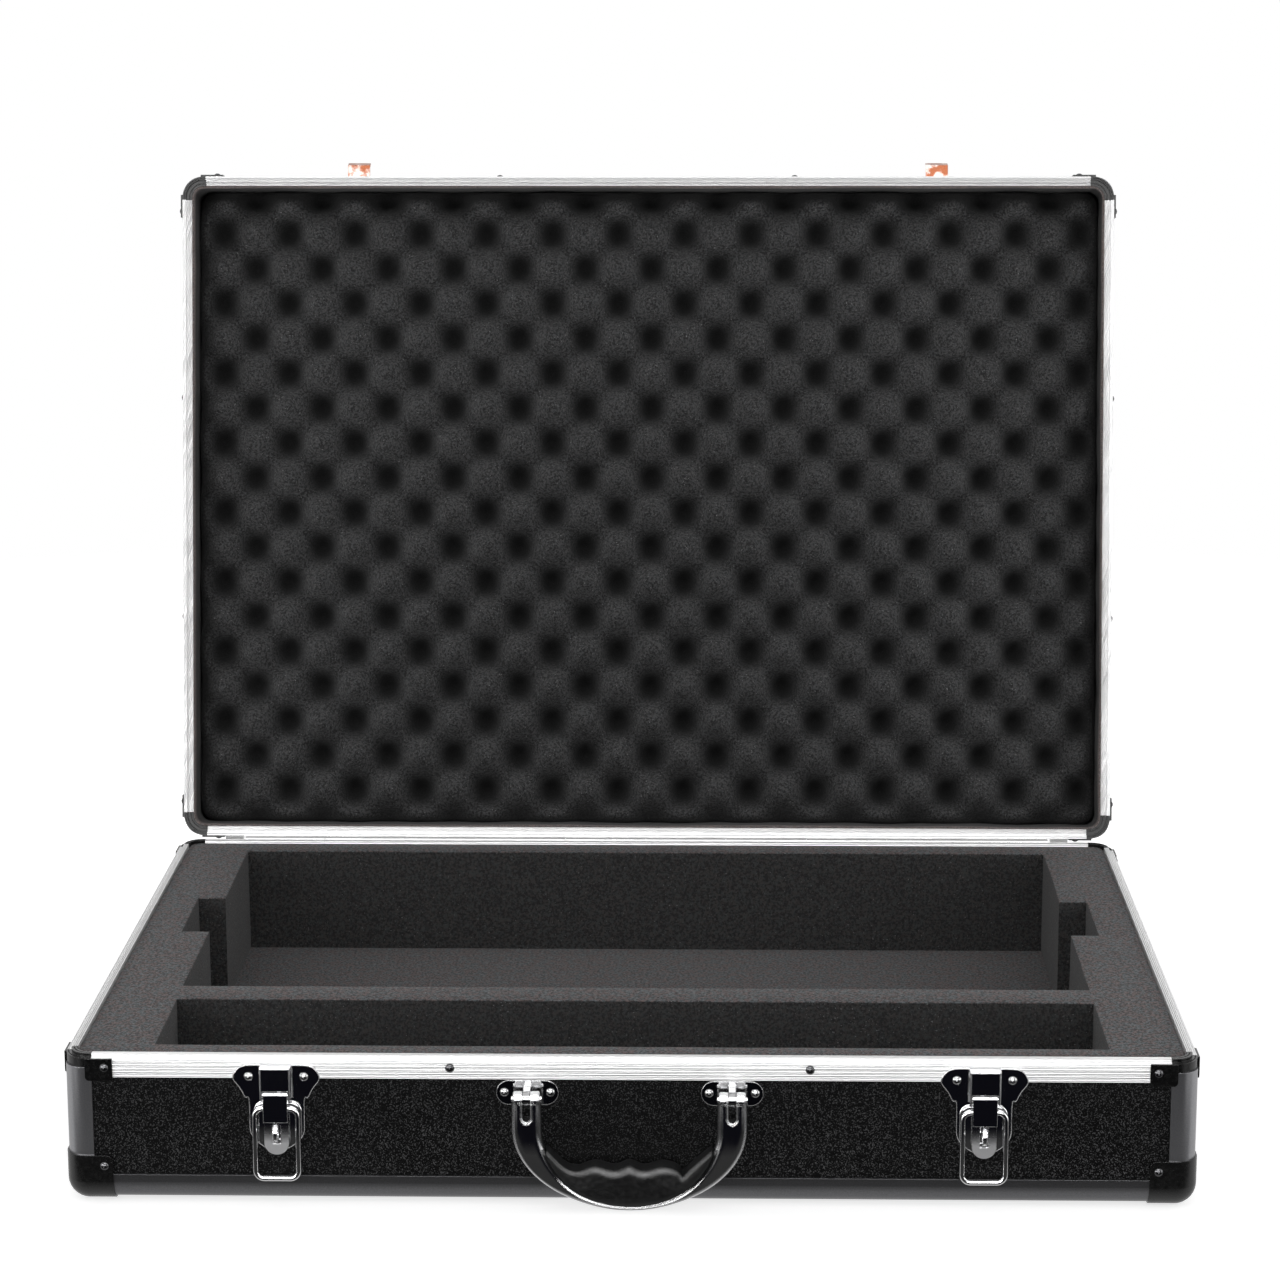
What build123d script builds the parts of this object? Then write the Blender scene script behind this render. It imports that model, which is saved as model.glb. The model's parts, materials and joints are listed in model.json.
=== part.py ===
from build123d import *
import os
from math import ceil, cos, floor, pi, radians, sin

os.makedirs("parts", exist_ok=True)

# Hard case for a floor effects unit: a deep foam-filled base and a shallow lid on a rear hinge.
# Millimetres. X runs to the right, Y to the back, Z up; the front carries latches and handle.
# Everything is modelled closed, with X and Y zero at the middle of the base; at the end the lid
# is turned open and the whole is moved so that its origin is the bottom centre of its box.

# ---- overall size ----
case_w = 660.0          # outside width over the edge extrusions
case_d = 469.0          # outside depth over the edge extrusions
base_h = 89.0           # floor to the parting plane
lid_h = 58.0            # parting plane to the top
open_angle = 100.3      # the lid's travel, closed to resting on its stops
part_gap = 0.3          # seam between the two rims when closed

# ---- walls and edge extrusions ----
ply = 4.0               # laminated plywood panels
skin = 1.25             # wall of every extrusion
leg = 16.5              # face width of the edge extrusion
web = 9.0               # how far in from the edge a panel stops
inner_leg = 12.0        # reach of the extrusion's inner flange
edge_r = 12.0           # rounding of the edge extrusion
rim_w = 2 * skin + ply  # width of a rim, and of the edge extrusion's channel

# ---- rims ----
rim_face = 11.4         # height of the ribbed outer face
rim_inner = 9.0         # height of the inner flange
rib_count = 4
rib_depth = 0.3
rib_gap = 0.9           # height of each groove between ribs
tongue_u = 3.0          # the tongue starts this far in from the outer face
tongue_h = 2.0
groove_u = 2.3          # the lid's groove starts a little further out
groove_depth = 2.5
base_web = 2.0          # thickness of the base rim's top web
lid_web = groove_depth + 1.5

# ---- moulded rim corners ----
corner_h = 5.6          # depth of the skirt over the post
corner_r = 15.0
ridge_u = 1.0           # groove on the outer step, measured in from the outside
ridge_inner_u = 4.5     # groove on the inner step
ridge_w = 0.7
ridge_depth = 0.8
tab_in = 13.0           # riveted tab: starts this far from the corner
tab_out = 29.0
tab_h = 13.4
tab_t = 1.2
tab_rivet_u = 24.2
tab_rivet_drop = 5.5

# ---- moulded ball corners ----
cap_proud = 1.1         # shell of the ball corner, so the case stands on it
cap_leg = 27.6
cap_leg_z = 28.4
cap_round = 4.0
cap_rivet_u = 22.5
cap_rivet_z = 21.9

# ---- rivets ----
rivet_head_r = 2.7
rivet_head_h = 1.5
rivet_shank_r = 1.4
rivet_bite = 3.4        # how far a shank goes into the plywood
rivet_fit = 0.05
rim_rivet_x = 104.5
rim_rivet_y = 78.0
rim_rivet_drop = 4.8

# ---- foam in the base ----
foam_gap = 0.3
pocket_floor = 18.0     # height of the pocket's floor
front_wall = 26.0       # from the case's front face to the accessory bay
bay_d = 84.5
middle_wall = 26.5
pocket_w = 560.0
pocket_d = 305.0
notch_depth = 18.0      # each finger notch beside the pocket
notch_start = 113.5     # from the pocket's front
notch_len = 75.0
bay_front = front_wall - case_d / 2
bay_back = bay_front + bay_d
pocket_front = bay_back + middle_wall
pocket_back = pocket_front + pocket_d
notch_front = pocket_front + notch_start
notch_back = notch_front + notch_len
notch_w = pocket_w + 2 * notch_depth

# ---- liner and egg-crate foam in the lid ----
liner_t = 1.8
liner_drop = 0.5        # below the parting plane
pad_base_t = 16.5       # to the bottom of the hollows
peak_h = 22.5
peak_pitch_x = 47.3     # peak to peak along a row
row_pitch = 25.0        # row to row; every other row is shifted half a pitch
peak_x = 3.0            # one peak's place from the middle of the pad
peak_y = 3.85
peak_flat = 0.3         # flat top of a peak, as a share of its foot
pad_edge = 6.0          # peaks stop this far inside the edge of the pad

# ---- hinge ----
hinge_len = case_w - 88
hinge_out = 2.9         # axis behind the rear face
knuckle_r = 2.4
knuckle_count = 20
knuckle_gap = 0.4
hinge_pin_r = 1.1
running_fit = 0.05
leaf_t = 1.2
leaf_h = 10.6           # from the axis
leaf_edge = 2.6         # plain edge of a leaf, clear of the other leaf's knuckles
hinge_rivet_count = 10
stop_w = 12.0
stop_gap = 2.0          # hinge end to stop
stop_t = 1.5
stop_h = 11.0
stop_rivet_drop = 6.8
stop_reach = 10.0
stop_fit = 0.1

# ---- draw latches ----
latch_x = case_w / 2 - 124.5
plate_t = 1.3
plate_top = base_h - 2.6
plate_half = 25.4       # half width at the shoulders
plate_neck = 21.2       # half width just under the shoulders
plate_hip = 18.0        # half width where the sides turn upright
plate_waist = 16.1      # half width of the upright sides
plate_flat = 13.4       # half width of the straight top edge
plate_tip = 6.5         # half width just above the foot
plate_waist_z = plate_top - 38.5
plate_foot_z = plate_top - 52.4
latch_rivet_x = 16.1
latch_rivet_z = plate_top - 7.6
hood_half = 9.0
hood_out = 9.2
hood_wall = 1.5
hood_bottom = plate_top - 14.3
ear_bottom = plate_top - 19.9
latch_pin_y = 7.0       # axis in front of the case's face
latch_pin_z = plate_top - 16.9
latch_pin_r = 1.2
lever_half = 7.1
lever_t = 1.4
lever_knuckle_r = 2.2
lever_back = 3.0        # back edge of the lever's cheeks, in front of the case's face
lever_step_z = latch_pin_z - 16.1
tongue_end_z = latch_pin_z - 36.9
tongue_y = 4.2          # back of the finger tongue
slot_half = 2.4
slot_low_z = latch_pin_z - 30.2
staple_t = 2.6
staple_z = latch_pin_z - 22.8
staple_r = 6.0
staple_neck = 6.5
staple_eye_r = 2.6
staple_eye_y = 8.5
bail_r = 1.6            # bail wire
bail_y = 5.9
bail_z = latch_pin_z - 8.5
bail_w = 28.3           # outside
bail_len = 42.95        # pivot to the middle of the far wire
bail_corner = 5.0

# ---- catches on the lid ----
catch_w = 15.8
catch_t = 1.3
catch_fit = 0.3
catch_plate_h = 18.0
catch_lip_h = 4.6
catch_lip_out = 2.0
catch_lip_tip = 0.4     # how far the lip's nose rises above its outer edge
catch_rivet_up = 12.5   # above the middle of the latched wire
catch_rivet_x = 4.6

# ---- handle ----
arm_x = 59.5            # middle of an arm and of its bracket
arm_w = 17.5
arm_t = 9.0
handle_y = 10.8         # pivot in front of the case's face
handle_z = base_h - 19.4
bow_z = handle_z - 17.6  # where the arms start to curve
bow_drop = 49.2
bow_rim = 3.2           # the bow at its lowest point
bow_round = 0.46        # rounding of the bow's section, as a share of its smaller side
bow_steps = 7           # sections from an arm to the bow's lowest point
arm_top_round = 2.2
knuckle_w = 15.6        # the arm's eye, around the pin
bracket_w = 36.2
bracket_h = 15.0
bracket_t = 1.3
lug_t = 4.0
lug_r = 4.0
slot_gap = 0.4
slot_below = 13.0
handle_pin_r = 1.5
bracket_rivet_x = 13.4
grip_t = 18.0           # at the middle
grip_round = 4.0
grip_run = 3.0          # how far its blank runs into the arms, before it is cut to the bow
grip_slope = 0.8        # of its upper edge beside the arms
grip_half = 48.0        # half width, tip to tip
grip_end_t = 11.0       # at the arms
grip_low_t = 12.0       # at the bow's lowest point
grip_side_z = bow_z - 9.5
grip_mid_z = bow_z - 22.4
finger_pitch = 18.8
finger_depth = 1.5
finger_count = 4
finger_span = 0.75      # share of the hollows that the finger curve covers

half_w = case_w / 2
half_d = case_d / 2
lid_top = base_h + part_gap + lid_h
signs = [(s, t) for s in (-1, 1) for t in (-1, 1)]


# ---------------------------------------------------------------- helpers
def mirrored_x(shape):
    return mirror(shape, about=Plane.YZ)


def mirrored_y(shape):
    return mirror(shape, about=Plane.XZ)


def four(shape):
    """A shape at the front left corner, and its mirror images at the other three."""
    pair = [shape, mirrored_x(shape)]
    return pair + [mirrored_y(s) for s in pair]


def onto_lid(shape):
    """Turns a piece of an upright tray over, onto the closed lid."""
    return Pos(0, 0, lid_top) * mirror(shape, about=Plane.XY)


def solids_of(shapes):
    return [s for shape in shapes for s in shape.solids()]


def block(x0, x1, y0, y1, z0, z1):
    size = Box(x1 - x0, y1 - y0, z1 - z0)
    return Pos((x0 + x1) / 2, (y0 + y1) / 2, (z0 + z1) / 2) * size


def along_x(section, x0, x1, y, z):
    """Extrudes a section, drawn inward and up from the front edge, along X."""
    plane = Plane(origin=(x0, y, z), x_dir=(0, 1, 0), z_dir=(1, 0, 0))
    return extrude(plane * section, amount=x1 - x0)


def along_y(section, y0, y1, x, z):
    """Extrudes a section, drawn inward and up from the left edge, along Y."""
    plane = Plane(origin=(x, y1, z), x_dir=(1, 0, 0), z_dir=(0, -1, 0))
    return extrude(plane * section, amount=y1 - y0)


def rod_x(radius, x0, x1, y, z):
    return Pos((x0 + x1) / 2, y, z) * Rot(0, 90, 0) * Cylinder(radius, x1 - x0)


# ---------------------------------------------------------------- sections
def edge_section():
    """Edge extrusion: two panel channels at right angles behind a rounded edge."""
    far = skin + ply
    corner = edge_r * (1 - cos(pi / 4))
    outline = Polyline(
        (edge_r, 0), (leg, 0), (leg, skin), (web, skin), (web, far), (inner_leg, far),
        (inner_leg, rim_w), (rim_w, rim_w), (rim_w, inner_leg), (far, inner_leg), (far, web),
        (skin, web), (skin, leg), (0, leg), (0, edge_r),
    )
    return make_face([outline, ThreePointArc((0, edge_r), (corner, corner), (edge_r, 0))])


def rim_section(step_u, step_v, web_t):
    """Rim extrusion: a channel over the panel's edge, ribbed outside, stepped on top."""
    pitch = rim_face / (rib_count + 1)
    ribs = []
    for i in range(rib_count):
        low = -rim_face + (i + 1) * pitch - rib_gap / 2
        ribs += [(0, low), (rib_depth, low), (rib_depth, low + rib_gap), (0, low + rib_gap)]
    points = [(0, -rim_face), *ribs, (0, 0), (step_u, 0), (step_u, step_v), (rim_w, step_v)]
    points += [(rim_w, -rim_inner), (skin + ply, -rim_inner), (skin + ply, -web_t)]
    points += [(skin, -web_t), (skin, -rim_face)]
    return make_face(Polyline(*points, close=True))


def corner_square(inset, reach, radius):
    """A square from inset to reach, rounded at the case's corner."""
    side = reach - inset
    square = Pos(inset + side / 2, inset + side / 2) * Rectangle(side, side)
    tip = square.vertices().sort_by(lambda v: v.X + v.Y)[0]
    return fillet(tip, radius)


def corner_ring(inner, outer):
    """The strip between two distances in from the outside, round a corner."""
    reach = leg + rim_w
    strip = corner_square(inner, reach, corner_r - inner)
    strip -= corner_square(outer, 2 * reach, corner_r - outer)
    return strip & (Pos(leg / 2, leg / 2) * Rectangle(leg, leg))


# ---------------------------------------------------------------- rivets
def rivet(through):
    """A dome-headed rivet on local Z, head up, whose shank goes down."""
    ball = (rivet_head_r**2 + rivet_head_h**2) / (2 * rivet_head_h)
    dome = Pos(0, 0, rivet_head_h - ball) * Sphere(ball)
    head = dome & (Pos(0, 0, rivet_head_h / 2) * Cylinder(rivet_head_r, rivet_head_h))
    return head + Pos(0, 0, -through / 2) * Cylinder(rivet_shank_r, through)


def rivet_hole(through):
    return Pos(0, 0, -through / 2) * Cylinder(rivet_shank_r + rivet_fit, through)


def facing(x, y, z, out):
    """A place on an outer face, with local Z pointing out of the case."""
    return Location(Plane(origin=(x, y, z), z_dir=out))


def corner_places(inset, proud, z):
    """Two places at every corner of the case, one on each of the faces that meet there."""
    places = []
    for s, t in signs:
        x = s * half_w
        y = t * half_d
        places.append(facing(x - s * inset, y + t * proud, z, (0, t, 0)))
        places.append(facing(x + s * proud, y - t * inset, z, (s, 0, 0)))
    return places


def fastened(places, through):
    body = rivet(through)
    return [place * body for place in places]


def hole_cuts(places, through):
    body = rivet_hole(through)
    return [place * body for place in places]


# ---------------------------------------------------------------- a tray: base or lid
class Tray:
    """The shell of one half, standing upright with its rim at the top."""

    def __init__(self, height, step_u, step_v, web_t):
        self.height = height
        self.step_u = step_u
        self.step_v = step_v
        self.web_t = web_t
        self.low = cap_proud

    def rivet_groups(self):
        """Places of each group of rivets, and how deep its shanks go."""
        tab_z = self.height - tab_rivet_drop
        cap_z = self.low + cap_rivet_z
        rim_z = self.height - rim_rivet_drop
        along_rim = [facing(s * rim_rivet_x, -half_d, rim_z, (0, -1, 0)) for s in (-1, 1)]
        for s, t in signs:
            along_rim.append(facing(s * half_w, t * rim_rivet_y, rim_z, (s, 0, 0)))
        return [
            (corner_places(tab_rivet_u, tab_t, tab_z), tab_t + skin + rivet_bite),
            (corner_places(cap_rivet_u, cap_proud, cap_z), cap_proud + skin + rivet_bite),
            (along_rim, skin + rivet_bite),
        ]

    def rivets(self):
        return [r for places, through in self.rivet_groups() for r in fastened(places, through)]

    def holes(self):
        return [h for places, through in self.rivet_groups() for h in hole_cuts(places, through)]

    def big_panel(self):
        """The floor of the base, or the top of the lid."""
        x = half_w - web
        y = half_d - web
        panel = block(-x, x, -y, y, self.low + skin, self.low + skin + ply)
        return panel - four(block(-half_w, -half_w + leg, -half_d, -half_d + leg, 0, self.low + leg))

    def wall(self, half_length, outer):
        """One wall panel lying along X behind the front face at -outer."""
        x = half_length - web
        y = -outer + skin
        panel = block(-x, x, y, y + ply, self.low + web, self.height - self.web_t)
        notches = []
        for s in (-1, 1):
            inner, end = s * (half_length - leg), s * half_length
            x0, x1 = min(inner, end), max(inner, end)
            notches.append(block(x0, x1, y, y + ply, 0, self.low + leg))
            notches.append(block(x0, x1, y, y + ply, self.height - corner_h, self.height))
        return panel - notches

    def walls(self):
        """Front, rear, left and right."""
        front = self.wall(half_w, half_d)
        side = self.wall(half_d, half_w)
        left = Rot(0, 0, -90) * side
        return [front, mirrored_y(front), left, mirrored_x(left)]

    def rims(self):
        section = rim_section(self.step_u, self.step_v, self.web_t)
        x = half_w - leg
        y = half_d - leg
        front = along_x(section, -x, x, -half_d, self.height)
        left = along_y(section, -y, y, -half_w, self.height)
        return [front, mirrored_y(front), left, mirrored_x(left)]

    def edges(self):
        section = edge_section()
        x = half_w - leg
        y = half_d - leg
        front = along_x(section, -x, x, -half_d, self.low)
        left = along_y(section, -y, y, -half_w, self.low)
        return [front, mirrored_y(front), left, mirrored_x(left)]

    def posts(self):
        z0 = self.low + leg
        post = extrude(edge_section(), amount=self.height - corner_h - z0)
        return four(Pos(-half_w, -half_d, z0) * post)

    def corner_tab(self):
        """A riveted tab on the front face, rounded at its lower corners."""
        tab = block(tab_in, tab_out, -tab_t, 0, -tab_h, 0)
        return fillet(tab.edges().filter_by(Axis.Y).group_by(Axis.Z)[0], tab_t * 2)

    def rim_corners(self):
        """Moulded corner between two rims: stepped like them, ridged on top."""
        core = extrude(corner_ring(0, self.step_u), amount=-corner_h)
        core += Pos(0, 0, -corner_h) * extrude(
            corner_ring(self.step_u, rim_w), amount=corner_h + self.step_v
        )
        for u, top in ((ridge_u, 0), (ridge_inner_u, self.step_v)):
            core -= Pos(0, 0, top) * extrude(corner_ring(u, u + ridge_w), amount=-ridge_depth)
        tab = self.corner_tab()
        body = core + tab + mirror(tab, about=Plane((0, 0, 0), z_dir=(1, -1, 0)))
        return four(Pos(-half_w, -half_d, self.height) * body)

    def caps(self):
        """Ball corner: a shell over three extrusions, with a core that plugs their ends."""
        shell = corner_block(-cap_proud, cap_leg, cap_leg_z, edge_r + cap_proud, cap_round)
        shell -= corner_block(0, cap_leg * 2, cap_leg_z * 2, edge_r)
        core = corner_block(0, leg, leg, edge_r) - block(rim_w, leg, rim_w, leg, rim_w, leg)
        return four(Pos(-half_w, -half_d, self.low) * (shell + core))


def corner_block(low, reach, reach_z, radius, far_radius=0):
    """A box at a corner of the case, rounded along the three edges that meet there."""
    body = block(low, reach, low, reach, low, reach_z)
    ends = (reach, reach, reach_z)
    near = []
    far = []
    for edge in body.edges():
        centre = tuple(edge.center())
        if sum(abs(c - low) < 1e-6 for c in centre) == 2:
            near.append(edge)
        if sum(abs(c - e) < 1e-6 for c, e in zip(centre, ends)) == 2:
            far.append(edge)
    if far_radius:
        body = fillet(far, far_radius)
        near = [e for e in body.edges() if sum(abs(c - low) < 1e-6 for c in tuple(e.center())) == 2]
    return fillet(near, radius)


# ---------------------------------------------------------------- foam and liner
def foam_half():
    return half_w - rim_w - foam_gap, half_d - rim_w - foam_gap


def rounded_slab(inset, z0, z1):
    """A slab that fills the tray, a given distance inside the foam's outline."""
    x, y = (v - inset for v in foam_half())
    slab = block(-x, x, -y, y, z0, z1)
    return fillet(slab.edges().filter_by(Axis.Z), corner_r - rim_w - inset)


def base_foam():
    """The floor pad, and the insert with its pocket, finger notches and bay."""
    pad = rounded_slab(0, cap_proud + rim_w, pocket_floor)
    insert = rounded_slab(0, pocket_floor, base_h)
    hollows = [
        block(-pocket_w / 2, pocket_w / 2, pocket_front, pocket_back, pocket_floor, base_h),
        block(-notch_w / 2, notch_w / 2, notch_front, notch_back, pocket_floor, base_h),
        block(-pocket_w / 2, pocket_w / 2, bay_front, bay_back, pocket_floor, base_h),
    ]
    return pad, insert - hollows


def lid_liner():
    """A strip that lines the lid's walls, in the upright tray's frame."""
    z0 = cap_proud + rim_w
    z1 = lid_h - liner_drop
    return rounded_slab(0, z0, z1) - rounded_slab(liner_t, z0, z1)


def egg_crate():
    """Foam pad with staggered blunt peaks, in the upright tray's frame."""
    inset = liner_t + foam_gap
    x, y = (v - inset for v in foam_half())
    low = cap_proud + rim_w
    foot = low + pad_base_t
    slab = rounded_slab(inset, low, foot)
    dx, dy = peak_pitch_x / 2, row_pitch
    diamond = make_face(Polyline((dx, 0), (0, dy), (-dx, 0), (0, -dy), close=True))
    top = Pos(0, 0, peak_h) * scale(diamond, by=peak_flat)
    peak = loft([diamond, top], ruled=True)
    peaks = []
    reach_x = x - pad_edge - dx
    reach_y = y - pad_edge - dy
    for row in range(ceil((-reach_y - peak_y) / dy), floor((reach_y - peak_y) / dy) + 1):
        start = peak_x + (dx if row % 2 else 0)
        first = ceil((-reach_x - start) / peak_pitch_x)
        last = floor((reach_x - start) / peak_pitch_x)
        for col in range(first, last + 1):
            peaks.append(Pos(start + col * peak_pitch_x, peak_y + row * dy, foot) * peak)
    return slab.fuse(*peaks)


# ---------------------------------------------------------------- hinge
def hinge_axis_y():
    return half_d + hinge_out


def knuckle_spans(first):
    """X ranges of every other knuckle."""
    pitch = hinge_len / knuckle_count
    starts = [-hinge_len / 2 + i * pitch for i in range(first, knuckle_count, 2)]
    return [(s + knuckle_gap / 2, s + pitch - knuckle_gap / 2) for s in starts]


def hinge_rivet_xs():
    pitch = hinge_len / hinge_rivet_count
    return [-hinge_len / 2 + (i + 0.5) * pitch for i in range(hinge_rivet_count)]


def hinge_leaf(first, side):
    """A leaf on the rear face; side is 1 for the lid's, above the axis, or -1 for the base's."""
    y0, y1 = half_d, half_d + leaf_t
    z = sorted((base_h + side * leaf_edge, base_h + side * leaf_h))
    leaf = block(-hinge_len / 2, hinge_len / 2, y0, y1, *z)
    for x0, x1 in knuckle_spans(first):
        z = sorted((base_h, base_h + side * leaf_edge))
        leaf += block(x0, x1, y0 + knuckle_seat(), y1, *z)
        leaf += rod_x(knuckle_r, x0, x1, hinge_axis_y(), base_h)
    leaf -= rod_x(hinge_pin_r + running_fit, -hinge_len, hinge_len, hinge_axis_y(), base_h)
    return leaf


def knuckle_seat():
    """The knuckles stand this far off the rear face."""
    return hinge_out - knuckle_r


def hinge_pin():
    return rod_x(hinge_pin_r, -hinge_len / 2, hinge_len / 2, hinge_axis_y(), base_h)


def hinge_rivet_places(side):
    z = base_h + side * (leaf_edge + leaf_h) / 2
    return [facing(x, half_d + leaf_t, z, (0, 1, 0)) for x in hinge_rivet_xs()]


def hinge_stops():
    """Two brackets behind the rear rim, on which the open lid's back wall rests."""
    tilt = radians(open_angle - 90)

    def rest_z(y):
        return (hinge_out - stop_fit - y * sin(tilt)) / cos(tilt)

    start = 2 * stop_fit
    wall = -hinge_out + stop_t
    points = [
        (-hinge_out, -stop_h), (wall, -stop_h), (wall, -stop_t * 2), (stop_reach, -stop_t),
        (stop_reach, rest_z(stop_reach)), (start, rest_z(start)), (start, -stop_t / 2),
        (-hinge_out, -stop_t / 2),
    ]
    profile = make_face(Polyline(*points, close=True))
    x0 = hinge_len / 2 + stop_gap
    left = along_x(profile, -x0 - stop_w, -x0, hinge_axis_y(), base_h)
    return [left, mirrored_x(left)]


def stop_rivet_places():
    x = hinge_len / 2 + stop_gap + stop_w / 2
    z = base_h - stop_rivet_drop
    return [facing(s * x, half_d + stop_t, z, (0, 1, 0)) for s in (-1, 1)]


# ---------------------------------------------------------------- latches
def latch_outline():
    """Half outline of the flared plate, from its top middle to its foot, and its mirror."""
    waist = (plate_waist, plate_waist_z)
    shoulder = Spline(
        (plate_flat, plate_top), (plate_half - 3, plate_top - 2.3), (plate_half, plate_top - 8),
        (plate_neck, plate_top - 15), (plate_hip, plate_top - 20.5), (plate_waist, plate_top - 28),
        tangents=((1, 0), (0, -1)),
    )
    side = Line((plate_waist, plate_top - 28), waist)
    foot = Spline(
        waist, (plate_waist - 3, plate_foot_z + 6), (plate_tip, plate_foot_z + 1), (0, plate_foot_z),
        tangents=((0, -1), (-1, 0)),
    )
    top = Line((0, plate_top), (plate_flat, plate_top))
    half = Curve() + [top, shoulder, side, foot]
    other = mirror(half, about=Plane.YZ)
    return make_face([*half.edges(), *other.edges()])


def latch_plate():
    """Plate, hood over the lever's pin and the two ears that hold the pin."""
    plate = extrude(Plane.XZ * latch_outline(), amount=plate_t)
    hood = block(-hood_half, hood_half, -hood_out, -plate_t, ear_bottom, plate_top)
    hood = fillet(hood.edges().filter_by(Axis.Z).group_by(Axis.Y)[0], 1.0)
    room = hood_half - hood_wall
    hood -= block(-room, room, -hood_out + hood_wall, -plate_t, ear_bottom, plate_top - hood_wall)
    hood -= block(-room, room, -hood_out, -plate_t, ear_bottom, hood_bottom)
    body = plate + hood
    body -= rod_x(latch_pin_r, -hood_half, hood_half, -latch_pin_y, latch_pin_z)
    return body


def latch_rivet_places():
    y = -half_d - plate_t
    return [
        facing(s * latch_x + t * latch_rivet_x, y, latch_rivet_z, (0, -1, 0)) for s, t in signs
    ]


def latch_pin():
    return rod_x(latch_pin_r, -hood_half, hood_half, -latch_pin_y, latch_pin_z)


def staple():
    """Padlock staple that stands through the lever's slot."""
    neck = Rectangle(staple_neck - plate_t, 2 * staple_r)
    side = Pos(-(plate_t + staple_neck) / 2, staple_z) * neck
    side += Pos(-staple_neck, staple_z) * Circle(staple_r)
    side -= Pos(-staple_eye_y, staple_z) * Circle(staple_eye_r)
    side &= Pos(-plate_t - 2 * staple_r, staple_z) * Rectangle(4 * staple_r, 4 * staple_r)
    return extrude(Plane.YZ * side, amount=staple_t / 2, both=True)


def latch_lever():
    """Folded lever: knuckle, channel that carries the bail, step and finger tongue."""
    out = hood_out
    front = block(-lever_half, lever_half, -out, -out + lever_t, lever_step_z, latch_pin_z)
    cheek = block(lever_half - lever_t, lever_half, -out, -lever_back, lever_step_z, latch_pin_z)
    step = block(
        -lever_half, lever_half, -out, -tongue_y, lever_step_z, lever_step_z + lever_t
    )
    body = front + cheek + mirrored_x(cheek) + step
    body += rod_x(lever_knuckle_r, -lever_half, lever_half, -latch_pin_y, latch_pin_z)
    end_z = tongue_end_z + lever_half
    shape = Pos(0, (end_z + lever_step_z + lever_t) / 2) * Rectangle(
        2 * lever_half, lever_step_z + lever_t - end_z
    )
    shape += Pos(0, end_z) * Circle(lever_half)
    shape -= Pos(0, (slot_low_z + lever_step_z) / 2) * Rectangle(
        2 * slot_half, lever_step_z - slot_low_z
    )
    body += Pos(0, -tongue_y, 0) * extrude(Plane.XZ * shape, amount=lever_t)
    body -= rod_x(latch_pin_r + running_fit, -hood_half, hood_half, -latch_pin_y, latch_pin_z)
    body -= rod_x(bail_r + running_fit, -hood_half, hood_half, -bail_y, bail_z)
    return body


def latch_bail():
    """Closed wire loop, hanging from the lever's cheeks."""
    width = bail_w - 2 * bail_r
    centre = (0, -bail_y, bail_z - bail_len / 2)
    path = Plane(origin=centre, x_dir=(1, 0, 0), z_dir=(0, -1, 0)) * RectangleRounded(
        width, bail_len, bail_corner
    )
    wire = path.wire()
    start = Plane(origin=wire @ 0, z_dir=wire % 0)
    return sweep(start * Circle(bail_r), path=wire)


def catch():
    """Hook on the lid that the raised bail drops over, drawn as the closed lid has it."""
    wire_z = bail_z + bail_len
    back = skin
    face = back - catch_t
    shelf = wire_z - bail_r - catch_fit
    lip = -bail_y - bail_r - catch_fit
    points = [
        (back, shelf - catch_t), (lip - catch_t, shelf - catch_t),
        (lip - catch_t - catch_lip_out / 2, shelf + catch_lip_h / 2),
        (lip - catch_t - catch_lip_out, shelf + catch_lip_h),
        (lip - catch_lip_out, shelf + catch_lip_h + catch_lip_tip), (lip, shelf), (face, shelf),
        (face, shelf - catch_t + catch_plate_h), (back, shelf - catch_t + catch_plate_h),
    ]
    side = make_face(Polyline(*points, close=True))
    return extrude(Plane.YZ * side, amount=catch_w / 2, both=True)


def catch_rivet_places():
    z = bail_z + bail_len + catch_rivet_up
    y = -half_d + skin - catch_t
    return [facing(s * latch_x + t * catch_rivet_x, y, z, (0, -1, 0)) for s, t in signs]


def on_front(shape, x):
    return Pos(x, -half_d, 0) * shape


# ---------------------------------------------------------------- handle
def handle_bracket():
    """Riveted plate on the front panel, with the lug that the arm straddles."""
    back = skin
    plate = extrude(Plane.XZ * SlotOverall(bracket_w, bracket_h), amount=bracket_t)
    plate = Pos(0, back, handle_z) * plate
    lug = block(-lug_t / 2, lug_t / 2, -handle_y, back - bracket_t, handle_z - lug_r, handle_z + lug_r)
    lug += rod_x(lug_r, -lug_t / 2, lug_t / 2, -handle_y, handle_z)
    return plate + lug - rod_x(handle_pin_r + running_fit, -lug_t, lug_t, -handle_y, handle_z)


def bracket_rivet_places():
    y = -half_d + skin - bracket_t
    return [facing(s * arm_x + t * bracket_rivet_x, y, handle_z, (0, -1, 0)) for s, t in signs]


def half_bow(a, b):
    """The lower half of an ellipse, closed above by a box up to the pivot."""
    ellipse = Pos(0, bow_z) * Ellipse(a, b)
    lower = ellipse & (Pos(0, bow_z - b) * Rectangle(2 * a, 2 * b))
    upper = Pos(0, (bow_z + handle_z) / 2) * Rectangle(2 * a, handle_z - bow_z)
    return lower + upper


def bow_section(turn):
    """The bow's rounded section; turn goes from 0 at the left arm to pi at the right one."""
    a, b = bow_inside()
    inner = Vector(-a * cos(turn), -b * sin(turn))
    outer = Vector(-(arm_x + arm_w / 2) * cos(turn), -bow_drop * sin(turn))
    middle = (inner + outer) / 2
    across = outer - inner
    width = across.length
    plane = Plane(
        origin=(middle.X, 0, bow_z + middle.Y), x_dir=(across.X, 0, across.Y),
        z_dir=(across.Y, 0, -across.X),
    )
    return plane * RectangleRounded(width, arm_t, bow_round * min(width, arm_t))


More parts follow.
